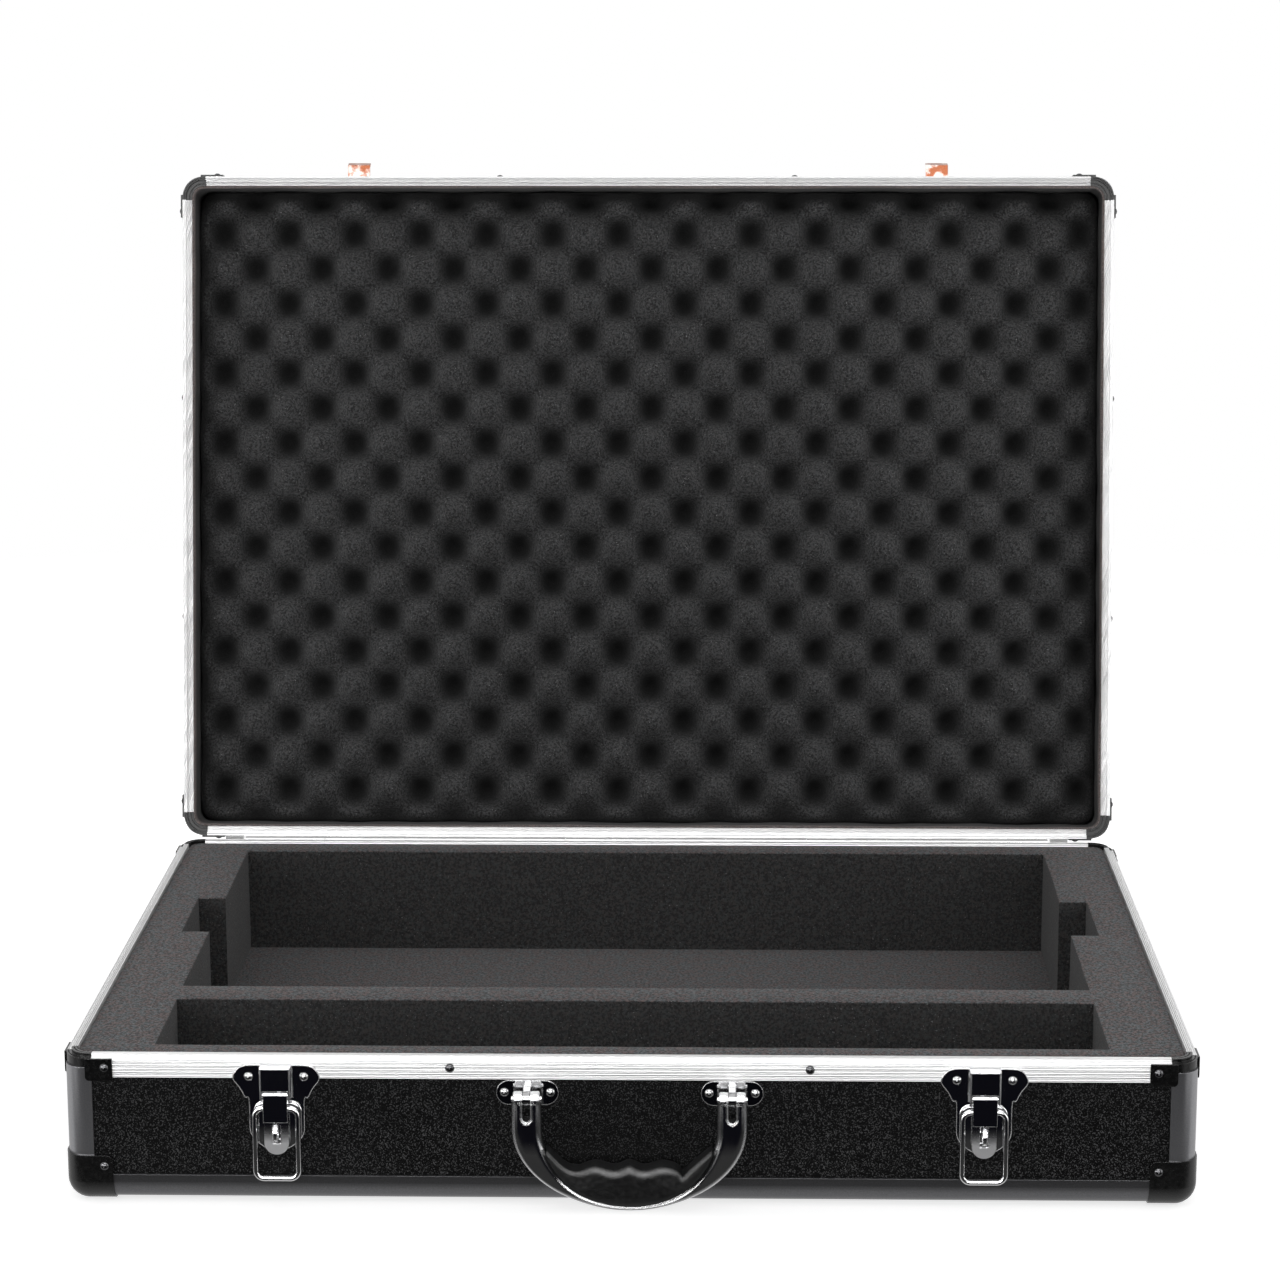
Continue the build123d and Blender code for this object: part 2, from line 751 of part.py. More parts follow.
def handle_frame():
    """Cast bow with two arms, each slotted over its bracket's lug."""
    bends = [bow_section(pi * i / (2 * bow_steps)) for i in range(2 * bow_steps + 1)]
    bow = loft(bends)
    half_slot = lug_t / 2 + slot_gap
    slot_end = handle_z - slot_below + half_slot
    for s in (-1, 1):
        x = s * arm_x
        section = RectangleRounded(arm_w, arm_t, bow_round * arm_t)
        arm = Pos(x, 0, bow_z) * extrude(section, amount=handle_z - bow_z)
        arm = fillet(arm.edges().group_by(Axis.Z)[-1], arm_top_round)
        eye = rod_x(arm_t / 2, x - knuckle_w / 2, x + knuckle_w / 2, 0, handle_z)
        bow += arm + fillet(eye.edges().filter_by(GeomType.CIRCLE), arm_top_round / 2)
        bow -= block(x - half_slot, x + half_slot, -arm_t, arm_t, slot_end, handle_z + arm_t)
        bow -= Pos(x, 0, slot_end) * Rot(90, 0, 0) * Cylinder(half_slot, 2 * arm_t)
        bow -= rod_x(handle_pin_r, x - arm_w / 2, x + arm_w / 2, 0, handle_z)
    return Pos(0, -handle_y, 0) * bow


def bow_inside():
    """Half width and depth of the bow's opening, below the height where its arms curve."""
    return arm_x - arm_w / 2, bow_drop - bow_rim


def arch_radius(half_span, rise):
    return (half_span**2 + rise**2) / (2 * rise)


def grip_blank():
    """Outline with finger hollows between raised ends, whose blunt ends lie inside the arms."""
    a, b = bow_inside()
    reach = a + grip_run
    end_z = grip_side_z + grip_run * grip_slope
    points = [(-reach, end_z)]
    steps = 2 * finger_count
    for i in range(steps + 1):
        x = (i / steps - 0.5) * finger_count * finger_pitch * finger_span
        points.append((x, grip_mid_z + finger_depth * cos(2 * pi * x / finger_pitch)))
    points.append((reach, end_z))
    top = Spline(*points, tangents=((1, -grip_slope), (1, grip_slope)))
    foot = Polyline((reach, end_z), (reach, bow_z - b), (-reach, bow_z - b), (-reach, end_z))
    return make_face([top, foot])


def handle_grip():
    """Moulded grip that fills the lower part of the bow, stoutest in the middle."""
    grip = extrude(Plane.XZ * grip_blank(), amount=grip_t / 2, both=True)
    rims = [e for e in grip.edges() if abs(abs(e.center().Y) - grip_t / 2) < 1e-6]
    grip = fillet(sorted(rims, key=lambda e: e.length)[-2:], grip_round)
    a, b = bow_inside()
    across = arch_radius(a, (grip_t - grip_end_t) / 2)
    down = arch_radius(grip_mid_z - bow_z + b, (grip_t - grip_low_t) / 2)
    for s in (-1, 1):
        grip &= Pos(0, s * (across - grip_t / 2), grip_mid_z) * Cylinder(across, 4 * b)
        grip &= Pos(0, s * (down - grip_t / 2), grip_mid_z) * Rot(0, 90, 0) * Cylinder(down, 4 * a)
    room = half_bow(a, b) & (Pos(0, bow_z) * Rectangle(2 * grip_half, 4 * b))
    grip &= extrude(Plane.XZ * room, amount=grip_t, both=True)
    return Pos(0, -handle_y, 0) * grip


def handle_pins():
    pin = rod_x(handle_pin_r, arm_x - arm_w / 2, arm_x + arm_w / 2, -handle_y, handle_z)
    return [pin, mirrored_x(pin)]


# ---------------------------------------------------------------- put together
def drilled(shape, holes):
    """A piece with the rivet holes that reach it."""
    box = shape.bounding_box()
    near = []
    for hole in holes:
        other = hole.bounding_box()
        apart = any(
            getattr(box.min, c) > getattr(other.max, c) or getattr(box.max, c) < getattr(other.min, c)
            for c in "XYZ"
        )
        if not apart:
            near.append(hole)
    return shape - near if near else shape


def build():
    """Every node by name, closed, as (list of solids, rides on the lid)."""
    base = Tray(base_h, tongue_u, tongue_h, base_web)
    lid = Tray(lid_h, groove_u, -groove_depth, lid_web)
    leaf_through = leaf_t + skin + rivet_bite
    stop_through = stop_t + skin + rivet_bite
    latch_through = plate_t + skin + rivet_bite
    catch_through = catch_t + rivet_bite
    bracket_through = bracket_t + rivet_bite

    base_holes = base.holes() + hole_cuts(hinge_rivet_places(-1), leaf_through)
    base_holes += hole_cuts(stop_rivet_places(), stop_through)
    base_holes += hole_cuts(latch_rivet_places(), latch_through)
    base_holes += hole_cuts(bracket_rivet_places(), bracket_through)
    lid_holes = [onto_lid(h) for h in lid.holes()]
    lid_holes += hole_cuts(hinge_rivet_places(1), leaf_through)
    lid_holes += hole_cuts(catch_rivet_places(), catch_through)

    nodes = {}

    def add(name, shapes, on_lid=False, holes=None):
        shapes = [drilled(s, holes) for s in shapes] if holes else shapes
        nodes[name] = (solids_of(shapes), on_lid)

    sides = ("front", "rear", "left", "right")
    add("base_floor_panel", [base.big_panel()])
    for side, wall, rim, edge in zip(sides, base.walls(), base.rims(), base.edges()):
        add(f"base_{side}_panel", [wall], holes=base_holes)
        add(f"base_{side}_rim", [rim], holes=base_holes)
        add(f"base_{side}_edge", [edge])
    add("base_posts", base.posts())
    add("base_rim_corners", base.rim_corners(), holes=base_holes)
    add("base_ball_corners", base.caps(), holes=base_holes)
    add("base_rivets", base.rivets() + fastened(stop_rivet_places(), stop_through))
    pad, insert = base_foam()
    add("foam_floor_pad", [pad])
    add("foam_insert", [insert])

    for name, s in (("left", -1), ("right", 1)):
        x = s * latch_x
        add(f"latch_plate_{name}", [on_front(latch_plate(), x)], holes=base_holes)
        add(f"latch_lever_{name}", [on_front(latch_lever(), x)])
        add(f"latch_bail_{name}", [on_front(latch_bail(), x)])
    add("latch_pins", [on_front(latch_pin(), s * latch_x) for s in (-1, 1)])
    add("latch_staples", [on_front(staple(), s * latch_x) for s in (-1, 1)])
    add("latch_rivets", fastened(latch_rivet_places(), latch_through))

    brackets = [on_front(handle_bracket(), s * arm_x) for s in (-1, 1)]
    add("handle_brackets", brackets, holes=base_holes)
    add("handle_bracket_rivets", fastened(bracket_rivet_places(), bracket_through))
    add("handle_frame", [on_front(handle_frame(), 0)])
    add("handle_grip", [on_front(handle_grip(), 0)])
    add("handle_pins", [on_front(p, 0) for p in handle_pins()])

    add("hinge_base_leaf", [hinge_leaf(0, -1)], holes=base_holes)
    add("hinge_pin", [hinge_pin()])
    add("hinge_stops", hinge_stops(), holes=base_holes)
    add("hinge_base_rivets", fastened(hinge_rivet_places(-1), leaf_through))

    add("lid_top_panel", [onto_lid(lid.big_panel())], True)
    for side, wall, rim, edge in zip(sides, lid.walls(), lid.rims(), lid.edges()):
        add(f"lid_{side}_panel", [onto_lid(wall)], True, lid_holes)
        add(f"lid_{side}_rim", [onto_lid(rim)], True, lid_holes)
        add(f"lid_{side}_edge", [onto_lid(edge)], True)
    add("lid_posts", [onto_lid(p) for p in lid.posts()], True)
    add("lid_rim_corners", [onto_lid(c) for c in lid.rim_corners()], True, lid_holes)
    add("lid_ball_corners", [onto_lid(c) for c in lid.caps()], True, lid_holes)
    add("lid_rivets", [onto_lid(r) for r in lid.rivets()], True)
    add("lid_liner", [onto_lid(lid_liner())], True)
    add("lid_foam", [onto_lid(egg_crate())], True)
    add("hinge_lid_leaf", [hinge_leaf(1, 1)], True, lid_holes)
    add("hinge_lid_rivets", fastened(hinge_rivet_places(1), leaf_through), True)
    add("latch_catches", [on_front(catch(), s * latch_x) for s in (-1, 1)], True, lid_holes)
    add("latch_catch_rivets", fastened(catch_rivet_places(), catch_through), True)
    return nodes


hinge_line = Axis((0, hinge_axis_y(), base_h), (1, 0, 0))
made = {}
for node, (solids, on_lid) in build().items():
    made[node] = [s.rotate(hinge_line, -open_angle) for s in solids] if on_lid else solids

boxes = [s.bounding_box() for solids in made.values() for s in solids]
origin_y = (min(b.min.Y for b in boxes) + max(b.max.Y for b in boxes)) / 2
for node, solids in made.items():
    placed = [Pos(0, -origin_y, 0) * s for s in solids]
    body = placed[0] if len(placed) == 1 else Compound(children=placed)
    export_step(body, f"parts/{node}.step")
print("nodes", len(made), "origin_y", round(origin_y, 4))
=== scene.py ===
import json
from math import cos, hypot, pi, radians, sin

import bmesh
import bpy
import numpy as np
from mathutils import Matrix, Vector, noise


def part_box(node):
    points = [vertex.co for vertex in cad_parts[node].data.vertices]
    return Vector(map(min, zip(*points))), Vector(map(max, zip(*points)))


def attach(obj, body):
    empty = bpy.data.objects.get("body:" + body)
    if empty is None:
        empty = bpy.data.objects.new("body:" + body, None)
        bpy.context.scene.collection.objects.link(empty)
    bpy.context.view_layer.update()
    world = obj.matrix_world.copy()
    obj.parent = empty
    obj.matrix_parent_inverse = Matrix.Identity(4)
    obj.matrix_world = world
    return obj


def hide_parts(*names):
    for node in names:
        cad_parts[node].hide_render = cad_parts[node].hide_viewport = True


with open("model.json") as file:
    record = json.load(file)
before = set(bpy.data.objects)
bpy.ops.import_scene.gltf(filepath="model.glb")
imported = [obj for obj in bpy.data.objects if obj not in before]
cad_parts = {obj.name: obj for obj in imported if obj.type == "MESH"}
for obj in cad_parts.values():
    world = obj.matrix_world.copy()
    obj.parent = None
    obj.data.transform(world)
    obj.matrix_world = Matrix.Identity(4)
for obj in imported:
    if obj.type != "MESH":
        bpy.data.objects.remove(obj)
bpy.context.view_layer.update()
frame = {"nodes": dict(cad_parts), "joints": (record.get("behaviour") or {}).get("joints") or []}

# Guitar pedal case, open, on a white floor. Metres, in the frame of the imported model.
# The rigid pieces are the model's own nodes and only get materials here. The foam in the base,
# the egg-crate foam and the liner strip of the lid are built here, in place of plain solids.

MM = 0.001

# ---- places taken from the frame ----
HINGE = next(j for j in frame["joints"] if j["name"] == "lid_hinge")
HINGE_AT = Vector(HINGE["pos_m"])
OPEN_ANGLE = radians(HINGE["range_deg"][1])
CASE_LOW, CASE_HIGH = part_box("base_floor_panel")
MIDDLE_Y = (CASE_LOW.y + CASE_HIGH.y) / 2
INSERT_LOW, INSERT_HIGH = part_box("foam_insert")
PAD_LOW, PAD_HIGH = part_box("foam_floor_pad")

# ---- foam in the base, in millimetres from the middle of the case ----
POCKET_HALF = 280.0     # half widths run along x, fronts and backs along y
POCKET_FRONT = -97.5
POCKET_BACK = 207.5
NOTCH_HALF = 298.0      # the finger notches widen the pocket to this
NOTCH_FRONT = 16.0
NOTCH_BACK = 91.0
BAY_FRONT = -208.5
BAY_BACK = -124.0
FOAM_CORNER = 8.0
CUT_EDGE = 0.9          # rounding of a cut edge
CUT_WAVE = 0.45         # how far a hand-cut wall strays

# ---- lid, in millimetres; s runs from the hinge line along the lid, depth from the rim plane ----
LID_GAP = 0.3           # rim plane above the hinge line
LID_HALF = 323.2        # half the liner's width over its outer faces
LID_NEAR = 9.7          # s of the liner's outer face at the hinge side
LID_FAR = 465.1
LID_FLOOR = 50.4        # depth of the lid's inside
LINER_T = 1.0           # thickness
LINER_WAVE = 0.9        # how much its thickness strays where it has come loose
LINER_DROP = 0.5        # its edge lies this far below the rim plane
LINER_CORNER = 8.2
PEAK_DEPTH = 11.4       # rim plane to the tops of the peaks
PEAK_SWING = 12.0       # half the height of a peak
PIT_EXTRA = 6.0         # how much deeper the bottoms of the hollows go
PITCH_X = 47.3          # peaks stand this far apart across the lid
PITCH_S = 49.95         # and along it
PHASE_X = 3.0           # place of one peak
PHASE_S = -16.2
PAD_ROUND = 7.0         # the pad rolls over this far at its edges
PAD_GAP = 0.2           # between the pad and the liner
PAD_CORNER = 10.0       # rounding of the pad's own corners
PAD_LEAST = 2.0         # thinnest that the pad gets
PAD_STEP = 2.4          # distance between the points of its surface
EDGE_BLEND = 11.0       # the peaks fade out over this distance from an edge
EDGE_SINK = 1.5         # how much lower the pad lies along its edges
BROW_REACH = 15.0       # the pad is pressed down this far in from the front wall of the lid
BROW_SINK = 7.0

# ---- looks ----
WHITE = (1, 1, 1, 1)
RIB_PITCH = 0.0011      # of the fine ribs drawn along the rims, in metres

# ---- surroundings, in metres; the world's measures are parts of a unit direction ----
FLOOR_REACH = 6.0
FLOOR_END = (-0.408, -0.43)     # y over which the floor fades out, in front of the case
FLOOR_FADE = (1.1, 1.9)         # distance over which it fades out all round
ROOM_FRONT = (-0.45, -0.75)     # y over which the world turns into the dark room
ROOM_TOP = (0.75, 0.45)         # z over which the room darkens, going down
ROOM_BOTTOM = (-0.28, -0.42)    # z below which diffuse light finds it white again

# ---- camera ----
LENS = 97.17
CAMERA_AT = Vector((47.47, -2137.41, 754.42)) * MM + Vector((0, MIDDLE_Y, 0))
YAW = radians(-1.236)
PITCH = radians(12.317)
ROLL = radians(-0.101)


# ---------------------------------------------------------------- node graphs
class Graph:
    """Short calls for building node graphs."""

    def __init__(self, tree):
        self.tree = tree

    def put(self, socket, value):
        if isinstance(value, bpy.types.Node):
            value = value.outputs[0]
        if isinstance(value, bpy.types.NodeSocket):
            self.tree.links.new(value, socket)
        else:
            socket.default_value = value

    def add(self, kind, *values, operation=None, settings=None, **inputs):
        """A node; plain values go to its inputs in order, skipping a mix shader's factor."""
        node = self.tree.nodes.new(kind)
        if operation:
            node.operation = operation
        for key, value in (settings or {}).items():
            setattr(node, key, value)
        first = 1 if kind == "ShaderNodeMixShader" else 0
        for i, value in enumerate(values):
            self.put(node.inputs[first + i], value)
        for key, value in inputs.items():
            self.put(node.inputs[key.replace("_", " ")], value)
        return node

    def math(self, operation, a, b=0.0):
        return self.add("ShaderNodeMath", a, b, operation=operation).outputs[0]

    def map_range(self, value, low, high, to_low=0.0, to_high=1.0):
        return self.add("ShaderNodeMapRange", value, low, high, to_low, to_high).outputs[0]

    def mix(self, a, b, factor):
        node = self.tree.nodes.new("ShaderNodeMix")
        node.data_type = "RGBA"
        self.put(node.inputs[0], factor)
        self.put(node.inputs[6], a)
        self.put(node.inputs[7], b)
        return node.outputs[2]

    def noise(self, scale, detail=2.0, stretch=None, roughness=0.5):
        """Noise of a given scale, in cells per metre of the object."""
        place = self.add("ShaderNodeTexCoord").outputs["Object"]
        if stretch:
            place = self.add("ShaderNodeVectorMath", place, stretch, operation="MULTIPLY").outputs[0]
        node = self.add("ShaderNodeTexNoise", Vector=place, Scale=scale, Detail=detail)
        node.inputs["Roughness"].default_value = roughness
        return node.outputs[0]

    def cells(self, scale):
        """Distance to the nearest point of a scatter of given scale, in cells per metre."""
        place = self.add("ShaderNodeTexCoord").outputs["Object"]
        return self.add("ShaderNodeTexVoronoi", Vector=place, Scale=scale).outputs["Distance"]

    def bump(self, height, strength, distance, normal=None):
        node = self.add("ShaderNodeBump", Strength=strength, Distance=distance, Height=height)
        if normal is not None:
            self.put(node.inputs["Normal"], normal)
        return node.outputs[0]


# ---------------------------------------------------------------- camera and light
def make_camera():
    """Turned by yaw, pitch and roll from looking along +y."""
    forward = Vector((sin(YAW) * cos(PITCH), cos(YAW) * cos(PITCH), -sin(PITCH)))
    level = Vector((cos(YAW), -sin(YAW), 0))
    up = level.cross(forward)
    right = level * cos(ROLL) + up * sin(ROLL)
    up = up * cos(ROLL) - level * sin(ROLL)
    data = bpy.data.cameras.new("camera")
    data.lens = LENS
    data.sensor_width = 36.0
    data.clip_end = 100.0
    camera = bpy.data.objects.new("camera", data)
    axes = Matrix((right, up, -forward)).transposed()
    camera.matrix_world = Matrix.Translation(CAMERA_AT) @ axes.to_4x4()
    bpy.context.scene.collection.objects.link(camera)
    bpy.context.scene.camera = camera


def softbox(name, place, target, width, height, power, sheen_only=False):
    """A rectangular lamp; one that is for sheen only shows in reflections and lights nothing else."""
    data = bpy.data.lights.new(name, "AREA")
    data.shape = "RECTANGLE"
    data.size = width
    data.size_y = height
    data.energy = power
    lamp = bpy.data.objects.new(name, data)
    aim = Vector(target) - Vector(place)
    lamp.matrix_world = Matrix.Translation(place) @ aim.to_track_quat("-Z", "Y").to_matrix().to_4x4()
    lamp.visible_diffuse = not sheen_only
    bpy.context.scene.collection.objects.link(lamp)


def make_lights():
    """Two soft lamps for everything, and four that only add sheen to metal and foam."""
    middle = (0, MIDDLE_Y, 0.15)
    softbox("softbox_left", (-1.5, -0.75, 0.5), middle, 0.8, 0.9, 2)
    softbox("softbox_right", (1.6, -0.75, 0.5), middle, 0.8, 0.9, 3)
    softbox("strip_left", (-0.85, -0.75, 0.3), (-0.3, -0.3, 0.02), 0.2, 0.3, 1.5, sheen_only=True)
    softbox("sheen_top", (0, -1.3, 1.6), middle, 1.6, 0.4, 14, sheen_only=True)
    softbox("sheen_left", (-1.1, -1.7, 0.7), (-0.25, -0.3, 0.06), 0.8, 0.5, 8, sheen_only=True)
    softbox("sheen_front", (0.1, -2.6, 0.87), middle, 2.6, 1.0, 36, sheen_only=True)


def make_world():
    """White to the camera. Everything else finds it white but for a dark room low in front."""
    world = bpy.data.worlds.new("studio")
    bpy.context.scene.world = world
    world.use_nodes = True
    tree = world.node_tree
    tree.nodes.clear()
    g = Graph(tree)
    path = g.add("ShaderNodeLightPath")
    way = g.add("ShaderNodeTexCoord")
    split = g.add("ShaderNodeSeparateXYZ", Vector=way.outputs["Generated"])
    front = g.map_range(split.outputs["Y"], *ROOM_FRONT)
    low = g.map_range(split.outputs["Z"], *ROOM_TOP)
    under = g.map_range(split.outputs["Z"], *ROOM_BOTTOM)
    below = g.math("MULTIPLY", under, path.outputs["Is Diffuse Ray"])
    dark = g.math("MULTIPLY", front, g.math("SUBTRACT", low, below))
    room = g.mix(WHITE, (0.004, 0.004, 0.006, 1), dark)
    seen = g.math("MAXIMUM", path.outputs["Is Camera Ray"], path.outputs["Is Transmission Ray"])
    reflected = g.add("ShaderNodeBackground", Color=room, Strength=1.0)
    plain = g.add("ShaderNodeBackground", Color=WHITE, Strength=1.0)
    overhead = g.map_range(split.outputs["Z"], 0.2, 0.8, 0.95, 0.6)
    fill = g.add("ShaderNodeBackground", Color=room, Strength=overhead)
    lit = g.add("ShaderNodeMixShader", fill, reflected, Fac=path.outputs["Is Glossy Ray"])
    out = g.add("ShaderNodeMixShader", lit, plain, Fac=seen)
    g.add("ShaderNodeOutputWorld", Surface=out.outputs[0])


def make_floor():
    """A square sheet under the case."""
    mesh = bpy.data.meshes.new("floor")
    r = FLOOR_REACH
    mesh.from_pydata([(-r, -r, 0), (r, -r, 0), (r, r, 0), (-r, r, 0)], [], [(0, 1, 2, 3)])
    floor = bpy.data.objects.new("floor", mesh)
    bpy.context.scene.collection.objects.link(floor)
    mesh.materials.append(floor_white())


def floor_white():
    """Pale and glowing, and takes the shadow. Reflections see it dark, but for a strip by the case."""
    material = bpy.data.materials.new("floor_white")
    material.use_nodes = True
    tree = material.node_tree
    tree.nodes.clear()
    g = Graph(tree)
    place = g.add("ShaderNodeTexCoord").outputs["Object"]
    split = g.add("ShaderNodeSeparateXYZ", Vector=place)
    flat = g.add("ShaderNodeVectorMath", place, (0, MIDDLE_Y, 0), operation="DISTANCE")
    far = g.map_range(flat.outputs["Value"], *FLOOR_FADE)
    ahead = g.map_range(split.outputs["Y"], *FLOOR_END)
    front = CASE_LOW.y
    beside = g.map_range(split.outputs["Y"], front - 0.037, front - 0.012, 0.02, 0.7)
    gone = g.math("MAXIMUM", far, ahead)
    path = g.add("ShaderNodeLightPath")
    pale = g.mix((0.7, 0.7, 0.7, 1), (0.02, 0.02, 0.02, 1), path.outputs["Is Glossy Ray"])
    white = g.add("ShaderNodeBsdfDiffuse", Color=pale)
    seen = g.math("MAXIMUM", path.outputs["Is Camera Ray"], path.outputs["Is Transmission Ray"])
    near = g.math("MAXIMUM", g.map_range(seen, 0.0, 1.0, beside, 0.72), path.outputs["Is Diffuse Ray"])
    level = g.map_range(flat.outputs["Value"], 0.45, 1.0, near, 1.0)
    glow = g.add("ShaderNodeEmission", Color=WHITE, Strength=level)
    both = g.add("ShaderNodeAddShader", white, glow)
    clear = g.add("ShaderNodeBsdfTransparent")
    mixed = g.add("ShaderNodeMixShader", both, clear, Fac=gone)
    g.add("ShaderNodeOutputMaterial", Surface=mixed.outputs[0])
    return material


# ---------------------------------------------------------------- materials
def new_look(name, metallic=0.0, roughness=0.5, color=(0.5, 0.5, 0.5), **inputs):
    """A principled material with its plain values set on the shader's own sockets."""
    material = bpy.data.materials.new(name)
    material.use_nodes = True
    tree = material.node_tree
    shader = tree.nodes["Principled BSDF"]
    shader.inputs["Base Color"].default_value = (*color, 1)
    shader.inputs["Metallic"].default_value = metallic
    shader.inputs["Roughness"].default_value = roughness
    for key, value in inputs.items():
        shader.inputs[key.replace("_", " ")].default_value = value
    return material, Graph(tree), shader


def edge_normal(g, radius):
    """Normals that round every hard edge a little, as on a real pressed or moulded piece."""
    return g.add("ShaderNodeBevel", Radius=radius, settings={"samples": 4}).outputs[0]


def laminate():
    """Black pebbled laminate with fine grey flecks."""
    material, g, shader = new_look("black_laminate", roughness=0.42)
    fleck = g.map_range(g.noise(1400, 1.0), 0.55, 0.68)
    color = g.mix((0.0006, 0.0006, 0.0007, 1), (0.075, 0.075, 0.077, 1), fleck)
    shader.inputs["Specular IOR Level"].default_value = 0.16
    g.put(shader.inputs["Base Color"], color)
    pebble = g.cells(700)
    g.put(shader.inputs["Normal"], g.bump(pebble, 0.35, 0.0003))
    return material


def extrusion(name, low, high):
    """Satin dark-grey anodised extrusion with a faint drawn grain."""
    material, g, shader = new_look(name, metallic=0.9, roughness=0.3)
    grain = g.noise(1200, 2.0)
    shade = g.mix((low, low, low * 1.04, 1), (high, high, high * 1.04, 1), grain)
    g.put(shader.inputs["Base Color"], shade)
    g.put(shader.inputs["Normal"], g.bump(grain, 0.12, 0.0001, edge_normal(g, 0.0004)))
    return material


def bright_rim(name, across):
    """Bright anodised aluminium with fine drawn ribs; across is the direction square to them."""
    material, g, shader = new_look(name, metallic=0.75, roughness=0.33, color=(0.97, 0.97, 0.97))
    place = g.add("ShaderNodeTexCoord").outputs["Object"]
    line = g.add("ShaderNodeVectorMath", place, across, operation="DOT_PRODUCT").outputs["Value"]
    ribs = g.math("SINE", g.math("MULTIPLY", line, 2 * pi / RIB_PITCH))
    one_way = {"noise_dimensions": "1D"}
    streaks = g.add("ShaderNodeTexNoise", settings=one_way, W=line, Scale=2500, Detail=3.0)
    height = g.math("ADD", g.math("MULTIPLY", ribs, 0.5), streaks)
    g.put(shader.inputs["Roughness"], g.map_range(streaks, 0.3, 0.7, 0.28, 0.4))
    g.put(shader.inputs["Normal"], g.bump(height, 0.8, 0.0004, edge_normal(g, 0.0002)))
    return material


def moulding(name, roughness, color):
    """Moulded plastic, slightly glossy, with a fine orange-peel surface."""
    material, g, shader = new_look(name, roughness=roughness)
    peel = g.noise(500, 2.0)
    low, high = color * 0.8, color * 1.25
    g.put(shader.inputs["Base Color"], g.mix((low, low, low, 1), (high, high, high, 1), peel))
    g.put(shader.inputs["Roughness"], g.map_range(peel, 0.3, 0.7, roughness - 0.05, roughness + 0.06))
    g.put(shader.inputs["Normal"], g.bump(peel, 0.06, 0.0002, edge_normal(g, 0.0005)))
    return material


def dark_rivet():
    """Blackened domed rivets with a polished skin."""
    material, g, shader = new_look("dark_rivet", metallic=1.0, roughness=0.16, color=(0.1, 0.1, 0.104))
    worn = g.noise(300, 2.0)
    g.put(shader.inputs["Roughness"], g.map_range(worn, 0.3, 0.7, 0.12, 0.22))
    g.put(shader.inputs["Normal"], edge_normal(g, 0.0004))
    return material


def chrome(name, radius, color=0.86):
    """Mirror chrome plating with faint polishing marks and edges rounded by the radius."""
    tone = (color, color, color * 1.01)
    material, g, shader = new_look(name, metallic=1.0, roughness=0.05, color=tone)
    marks = g.noise(220, 3.0, stretch=(1, 1, 0.3))
    g.put(shader.inputs["Roughness"], g.map_range(marks, 0.35, 0.75, 0.03, 0.1))
    g.put(shader.inputs["Normal"], g.bump(marks, 0.015, 0.0003, edge_normal(g, radius)))
    return material


def lever_plate(node):
    """Chrome of a latch lever, with its finger tongue worn satin by use."""
    tone = (0.86, 0.86, 0.87)
    material, g, shader = new_look(f"{node}_plate", metallic=1.0, roughness=0.05, color=tone)
    low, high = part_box(node)
    place = g.add("ShaderNodeTexCoord").outputs["Object"]
    height = g.add("ShaderNodeSeparateXYZ", Vector=place).outputs["Z"]
    span = high.z - low.z
    bright, worn = low.z + 0.5 * span, low.z + 0.2 * span
    g.put(shader.inputs["Roughness"], g.map_range(height, bright, worn, 0.05, 0.42))
    g.put(shader.inputs["Normal"], edge_normal(g, 0.0006))
    return material


def copper_plate():
    """Worn plating of the catches: coppery, with paler polished patches."""
    material, g, shader = new_look("copper_plate", metallic=1.0, roughness=0.22)
    patch = g.map_range(g.noise(160, 3.0), 0.45, 0.6)
    g.put(shader.inputs["Base Color"], g.mix((0.3, 0.1, 0.05, 1), (0.6, 0.5, 0.46, 1), patch))
    g.put(shader.inputs["Normal"], edge_normal(g, 0.0004))
    return material


def hinge_steel():
    """Nickel-plated steel of the long hinge."""
    material, g, shader = new_look("hinge_steel", metallic=1.0, roughness=0.28, color=(0.62, 0.62, 0.62))
    brushed = g.noise(120, 3.0, stretch=(0.2, 4, 4))
    g.put(shader.inputs["Roughness"], g.map_range(brushed, 0.3, 0.7, 0.22, 0.38))
    g.put(shader.inputs["Normal"], g.bump(brushed, 0.04, 0.0001, edge_normal(g, 0.0003)))
    return material


def foam(name, dark, light, warm, cool, scale, painted_shade=0.0):
    """Open-celled foam with a fine speckle, darkened towards black by any painted shade stored on the
    piece's points.
    """
    material, g, shader = new_look(name, roughness=0.95)
    shader.inputs["Specular IOR Level"].default_value = 0.25
    shader.inputs["Sheen Weight"].default_value = 0.15
    shader.inputs["Sheen Roughness"].default_value = 0.6
    grain = g.noise(scale, 3.0, roughness=0.75)
    hue = g.noise(scale * 0.55, 1.0)
    tint = g.mix(warm, cool, g.map_range(hue, 0.42, 0.58))
    body = g.mix(dark, light, g.map_range(grain, 0.42, 0.58))
    color = g.add("ShaderNodeMix", settings={"data_type": "RGBA", "blend_type": "MULTIPLY"})
    color.inputs[0].default_value = 1.0
    g.put(color.inputs[6], body)
    g.put(color.inputs[7], tint)
    spark = g.map_range(g.noise(scale * 1.7, 0.0), 0.76, 0.84)
    final = g.mix(color.outputs[2], (0.3, 0.3, 0.3, 1), spark)
    # Painted shade: the colour is pulled towards near-black by the shade stored on the piece's points.
    if painted_shade:
        place = g.add("ShaderNodeAttribute", settings={"attribute_name": "painted_shade"})
        shade_amount = g.map_range(place.outputs["Fac"], 0.42, 0.85, 0.0, painted_shade)
        final = g.mix(final, (0.002, 0.002, 0.002, 1), shade_amount)
    g.put(shader.inputs["Base Color"], final)
    g.put(shader.inputs["Normal"], g.bump(grain, 0.6, 0.0006))
    return material


